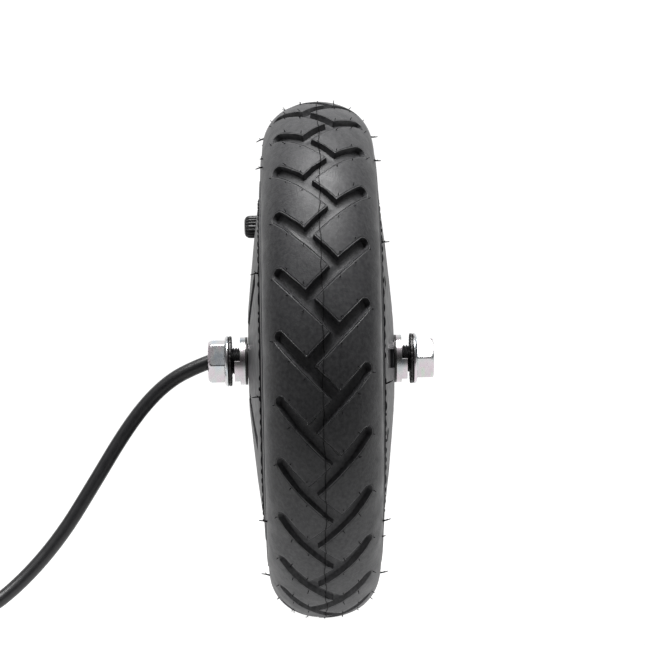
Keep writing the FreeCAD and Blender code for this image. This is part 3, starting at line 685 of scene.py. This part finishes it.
def make_vent_hairs(material):
    """All the hairs of the tyre as one piece."""
    verts, faces = join_parts(tread_hairs() + sidewall_hairs())
    return mesh_piece("tyre_vent_hairs", verts, faces, material, "wheel")


def flash_scrap(side, start, span, height, lean):
    """One torn scrap of rubber along the rim's lip, from angle start over an angle span."""
    steps = 5
    verts, faces = [], []
    for i in range(steps + 1):
        a = start + span * i / steps
        grow = height * math.sin(math.pi * (i + 0.4) / (steps + 0.8)) ** 0.3
        drift = lean * math.sin(2 * math.pi * i / steps)
        for r, y in ((70.9, 25.0), (70.7 + drift, 25.3 + grow), (70.2 + drift, 25.3 + grow), (69.75, 25.0)):
            verts.append((r * math.cos(a), side * y, r * math.sin(a)))
    for i in range(steps):
        for j in range(4):
            k = (j + 1) % 4
            faces.append((4 * i + j, 4 * i + 4 + j, 4 * i + 4 + k, 4 * i + k))
    faces += [(0, 1, 2, 3), (4 * steps + 3, 4 * steps + 2, 4 * steps + 1, 4 * steps)]
    return verts, faces


def make_bead_flash(material):
    """Ragged black edge of rubber, in dashes, where each sidewall meets the rim's lip."""
    parts = []
    for side in (-1, 1):
        a = 0.0
        while a < 2 * math.pi - 0.1:
            span = RNG.uniform(0.018, 0.095)
            parts.append(flash_scrap(side, a, span, RNG.uniform(0.9, 1.15), RNG.uniform(-0.3, 0.3)))
            a += span + RNG.uniform(0.010, 0.035)
    verts, faces = join_parts(parts)
    return mesh_piece("tyre_bead_flash", verts, faces, material, "wheel")


# ---------------------------------------------------------------- axle, nuts and washers
def on_flat(r, angle):
    """Radius limited by the D-flat on the axle's far side."""
    c = math.cos(angle)
    return min(r, AXLE_FLAT_X / -c) if c < -0.5 else r


def thread_radius(r, y, angle):
    """Right-hand thread on the two ends, and the flat that runs from the collar outwards."""
    along = abs(y)
    if r > AXLE_TIP_R and THREAD_START_Y < along < AXLE_END - 0.3:
        turn = (y / THREAD_PITCH + angle / (2 * math.pi)) % 1.0
        r = r - THREAD_DEPTH * abs(2 * turn - 1.0)
    if along > FLAT_START_Y:
        r = on_flat(r, angle)
    return r, y


def make_axle(material):
    """Hollow axle with its cut threads, bearing seats, stop collar and circlip groove."""
    end, bore = AXLE_END, AXLE_BORE_R
    left = fine_line([(bore, -end), (AXLE_TIP_R, -end), (AXLE_R, -end + 0.6), (AXLE_R, -THREAD_START_Y)],
                     THREAD_STEP)
    middle = [(5.6, -35.2), (5.6, -34.7), (AXLE_R, -34.6), (AXLE_R, -20.0), (8.0, -20.0), (8.0, -7.5),
              (10.0, -7.5), (10.0, -5.5), (8.0, -5.5), (8.0, 18.5), (7.5, 18.5), (7.5, 19.6), (8.0, 19.6),
              (8.0, 20.0), (AXLE_R, 20.0), (AXLE_R, 34.6), (5.6, 34.7), (5.6, 35.2)]
    right = fine_line([(AXLE_R, THREAD_START_Y), (AXLE_R, end - 0.6), (AXLE_TIP_R, end), (0.4, end)],
                      THREAD_STEP)
    inside = [(0.3, end - 0.1), (0.3, -7.5), (bore, -9.5)]
    return lathe("axle_shaft", left + middle + right + inside, 120, material, "axle",
                 shape=thread_radius, replaces=("axle",), sharp=50)


def hex_radius(angle, start, flats, round_r=0.6):
    """Radius of a hexagon with rounded corners; start is the angle of one corner."""
    sixth = math.pi / 3
    from_corner = (angle - start + sixth / 2) % sixth - sixth / 2
    flat = flats / 2 / math.cos(sixth / 2 - abs(from_corner))
    corner_centre = (flats / 2 - round_r) / math.cos(sixth / 2)
    sine = corner_centre * math.sin(from_corner)
    if abs(sine) < round_r * math.sin(sixth / 2):
        return corner_centre * math.cos(from_corner) + math.sqrt(round_r ** 2 - sine ** 2)
    return flat


def make_nut(prefix, side, corner_angle, material):
    """Flanged hexagon nut with a chamfered end, rounded corners and a countersunk, threaded bore."""
    start = math.radians(corner_angle)
    flange = [(NUT_BORE_R, 40.45), (10.5, 40.45), (10.95, 40.58), (11.1, 40.8), (11.1, 41.25), (11.0, 41.45),
              (10.3, 42.1), (10.05, 42.35), (9.9, 42.6)]
    hexagon = [(9.815, 43.0), (9.815, 47.6), (9.65, 48.1), (9.25, 48.7), (8.85, 49.1), (8.5, 49.35),
               (8.1, 49.47), (7.8, 49.5), (7.2, 49.5), (6.95, 49.42), (6.1, 48.7)]
    bore = [(NUT_BORE_R + 0.12 * (i % 2), 48.4 - 0.31 * i) for i in range(24)]

    def shape(r, y, angle):
        if r > 7.0 and abs(y) > 42.2:
            return min(r, hex_radius(angle, start, NUT_FLATS)), y
        return r, y

    profile = [(r, side * y) for r, y in flange + hexagon + bore]
    return lathe(prefix + "_nut_plated", profile, NUT_COLUMNS, material, prefix + "_nut", shape,
                 replaces=(prefix + "_nut",), sharp=28)


def make_washer(prefix, side, material):
    """Spring washer with radial teeth that stand out at its rim."""
    section = [(6.3, 39.25), (7.2, 39.2), (9.0, 39.15), (10.6, 39.1), (11.0, 39.3), (11.0, 40.15),
               (10.75, 40.38), (6.3, 40.38)]

    def shape(r, y, angle):
        bite = (0.5 + 0.5 * math.sin(WASHER_TEETH * angle)) * (0.7 + 0.3 * math.sin(7 * angle + 1.0))
        if r > 10.0:
            r -= 0.24 * bite ** 2
        if abs(y) < 39.5 and r > 7.0:
            y += side * 0.32 * bite
        return r, y

    profile = [(r, side * y) for r, y in section]
    return lathe(prefix + "_washer_toothed", profile, WASHER_COLUMNS, material, prefix + "_washer",
                 shape, replaces=(prefix + "_washer",), sharp=30)


def make_valve_cap(material):
    """Ribbed cap with a round end, made about its own axis and then lifted to the valve."""
    low, high = node_box("valve_cap")
    end, mouth = low[1], high[1]
    dome_long, dome_flat = 2.6, 2.6
    dome = []
    for a in np.linspace(0.0, math.pi / 2, 12):
        dome.append((dome_flat + (CAP_R - dome_flat) * math.cos(a), end + dome_long * (1.0 - math.sin(a))))
    profile = [(4.3, mouth - 0.3), (4.3, mouth), (4.8, mouth)]
    profile += fine_line([(CAP_R, mouth - 0.4), dome[0]], 0.5)[:-1] + dome
    profile += [(0.05, end), (0.05, end + 0.9), (3.85, end + 0.9), (4.2, end + dome_long)]
    profile += [(4.25, mouth - 0.6)]

    def shape(r, y, angle):
        if r > 4.28 and y < mouth - 0.9:
            r -= CAP_RIB_DEPTH * abs(math.sin(CAP_RIBS / 2 * angle))
        return r, y

    cap = lathe("valve_cap_ribbed", profile, 8 * CAP_RIBS, material, "valve_cap", shape,
                replaces=("valve_cap",), sharp=50)
    for vertex in cap.data.vertices:
        vertex.co.z += (low[2] + high[2]) / 2 * MM
    return cap


# ---------------------------------------------------------------- free cable
CABLE_ROUTE = [
    (0.0, -AXLE_END, 0.0),
    (0.0, -56.0, -2.6),
    (0.0, -66.5, -8.0),
    (0.0, -77.0, -17.6),
    (1.0, -87.5, -31.5),
    (4.0, -100.0, -52.0),
    (9.0, -115.0, -76.0),
    (17.0, -133.0, -96.0),
    (27.0, -150.0, -108.0),
    (35.0, -168.0, CABLE_LIE_Z),
]
TAIL_ROUTE = [
    (-22.0, COIL_CENTRE[1] - 35.0, COIL_TOP_Z),
    (-36.0, COIL_CENTRE[1] - 35.6, COIL_TOP_Z - 0.6),
    (-50.0, COIL_CENTRE[1] - 35.2, COIL_TOP_Z - 3.6),
    (-64.0, COIL_CENTRE[1] - 34.0, COIL_TOP_Z - 4.0),
]
COIL_TURNS = 3.25
COIL_POINTS_PER_TURN = 16
COIL_OUTER_R = 38.2
COIL_EASE = 0.3


def eased(turn, start):
    """0 up to turn start, 1 from COIL_EASE of a turn later on, and a straight line between."""
    return min(max((turn - start) / COIL_EASE, 0.0), 1.0)


def coil_points():
    """Turns of the put-away cable: outer and inner turn on the floor, then one and a bit nested on top."""
    points = []
    for i in range(2, int(COIL_TURNS * COIL_POINTS_PER_TURN) + 1):
        turn = i / COIL_POINTS_PER_TURN
        a = -2 * math.pi * turn
        radius = COIL_OUTER_R - 6.5 * eased(turn, 0.85) + 3.2 * eased(turn, 1.9) + 3.3 * eased(turn, 2.85)
        z = CABLE_LIE_Z + (COIL_TOP_Z - CABLE_LIE_Z) * eased(turn, 1.85)
        points.append((COIL_CENTRE[0] + radius * math.cos(a), COIL_CENTRE[1] + radius * math.sin(a), z))
    return points


def make_cable(material):
    """The free cable on one smooth line, from the axle's end through its coil to the connector."""
    points = CABLE_ROUTE + coil_points() + TAIL_ROUTE
    curve = bpy.data.curves.new("motor_cable_line", "CURVE")
    curve.dimensions = "3D"
    curve.bevel_depth = CABLE_R * MM
    curve.bevel_resolution = 6
    curve.resolution_u = 6
    curve.use_fill_caps = True
    spline = curve.splines.new("NURBS")
    spline.points.add(len(points) - 1)
    for point, place in zip(spline.points, points):
        point.co = (*[c * MM for c in place], 1.0)
    spline.order_u = 3
    spline.use_endpoint_u = True
    curve.materials.append(material)
    cable = bpy.data.objects.new("motor_cable_jacket", curve)
    bpy.context.collection.objects.link(cable)
    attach(cable, "axle")
    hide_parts("motor_cable", "cable_coil", "cable_tail")
    return cable


# ---------------------------------------------------------------- stage, lights and camera
def stage_material():
    """Floor paper that glows as painted light, bright white behind the wheel and fading to a faint glow in
    front of it, where its grey is also painted darker as painted shade.
    """
    material = new_material("studio_glowing_floor", (0.55, 0.55, 0.55), 0.9)
    place = add_node(material, "ShaderNodeTexCoord")
    split = add_node(material, "ShaderNodeSeparateXYZ")
    link(material, place, "Object", split, "Vector")
    # Painted light: emission strength falls from 1.0 behind x = 0.09 m to 0.05 in front of x = 0.26 m, so
    # the floor itself glows and lights the wheel.
    glow = add_node(material, "ShaderNodeMapRange")
    for socket, value in (("From Min", 0.09), ("From Max", 0.26), ("To Min", 1.0), ("To Max", 0.05)):
        glow.inputs[socket].default_value = value
    link(material, split, "X", glow, "Value")
    shader_of(material).inputs["Emission Color"].default_value = (1.0, 1.0, 1.0, 1.0)
    link(material, glow, "Result", shader_of(material), "Emission Strength")
    # Painted shade: the base grey darkens from 0.12 behind to 0.02 in front, following the glow.
    tones = ramp(material, glow, "Result", [(0.05, (0.02, 0.02, 0.02)), (1.0, (0.12, 0.12, 0.12))])
    link(material, tones, "Color", shader_of(material), "Base Color")
    return material


def make_stage():
    """Floor that curves up into a backdrop behind the wheel; lengths in metres."""
    front, bend_start, bend_r, top, half_width = 1.0, -1.6, 1.0, 4.0, 4.0
    profile = [(front, 0.0)]
    for a in np.linspace(0, math.pi / 2, 16):
        profile.append((bend_start - bend_r * math.sin(a), bend_r * (1.0 - math.cos(a))))
    profile.append((bend_start - bend_r, top))
    verts = [(x, y, z + FLOOR_Z * MM) for x, z in profile for y in (-half_width, half_width)]
    faces = [(2 * i, 2 * i + 1, 2 * i + 3, 2 * i + 2) for i in range(len(profile) - 1)]
    mesh = bpy.data.meshes.new("studio_floor")
    mesh.from_pydata(verts, [], faces)
    mesh.shade_smooth()
    mesh.materials.append(stage_material())
    floor = bpy.data.objects.new("studio_floor", mesh)
    bpy.context.collection.objects.link(floor)


def area_light(name, place, target, size, power):
    """Rectangular lamp of a size in metres and a power in watts, turned towards a target."""
    data = bpy.data.lights.new(name, "AREA")
    data.shape = "RECTANGLE"
    data.size, data.size_y = size
    data.energy = power
    lamp = bpy.data.objects.new(name, data)
    lamp.location = place
    lamp.rotation_euler = (Vector(target) - Vector(place)).to_track_quat("-Z", "Y").to_euler()
    bpy.context.collection.objects.link(lamp)


def make_world():
    """Dim at the horizon and brighter towards the ceiling."""
    world = bpy.data.worlds.new("studio")
    world.use_nodes = True
    place = add_node(world, "ShaderNodeTexCoord")
    split = add_node(world, "ShaderNodeSeparateXYZ")
    link(world, place, "Generated", split, "Vector")
    sky = ramp(world, split, "Z", [(0.0, 0.03), (0.35, 0.06), (0.75, 0.45)])
    link(world, sky, "Color", world.node_tree.nodes["Background"], "Color")
    bpy.context.scene.world = world


def make_lights():
    """Soft light from above and two weak strips at the sides."""
    make_world()
    area_light("top_softbox", (0.30, 0.0, 1.1), (0, 0, 0), (0.8, 0.5), 26.0)
    area_light("left_strip", (0.5, -0.95, 0.45), (0, 0, 0), (0.30, 0.8), 0.6)
    area_light("right_strip", (0.5, 0.95, 0.45), (0, 0, 0), (0.30, 0.8), 0.6)


CAMERA_DISTANCE = 1.084
CAMERA_YAW = math.radians(-0.5)
CAMERA_ROLL = math.radians(-0.98)


def make_camera():
    """Level view of the tread from the front, a long lens, the horizon tipped by about a degree."""
    data = bpy.data.cameras.new("camera")
    data.lens = 137.4
    data.sensor_width = 36.0
    data.shift_x = 0.0026
    data.shift_y = 0.0577
    back = Vector((math.cos(CAMERA_YAW), math.sin(CAMERA_YAW), 0.0))
    right = Vector((-math.sin(CAMERA_YAW), math.cos(CAMERA_YAW), 0.0))
    up = Vector((0.0, 0.0, 1.0))
    across = right * math.cos(CAMERA_ROLL) + up * math.sin(CAMERA_ROLL)
    upward = up * math.cos(CAMERA_ROLL) - right * math.sin(CAMERA_ROLL)
    camera = bpy.data.objects.new("camera", data)
    place = Matrix((across, upward, back)).transposed().to_4x4()
    place.translation = back * CAMERA_DISTANCE
    camera.matrix_world = place
    bpy.context.collection.objects.link(camera)
    bpy.context.scene.camera = camera


# ---------------------------------------------------------------- build
looks = make_materials()
make_camera()
make_lights()
make_stage()
make_cable(looks["cable"])
make_tyre_half("tyre_left_half", -1, looks["tread"])
make_tyre_half("tyre_right_half", 1, looks["tread"])
make_seam(looks["seam"])
make_vent_hairs(looks["flash"])
make_bead_flash(looks["flash"])
make_axle(looks["axle_steel"])
for prefix, side, corner in (("left", -1, -12.0), ("right", 1, 0.0)):
    make_nut(prefix, side, corner, looks["zinc"])
    make_washer(prefix, side, looks["black_steel"])
make_valve_cap(looks["cap"])
dress_cad_nodes(looks)
bpy.context.scene.view_settings.view_transform = "Standard"
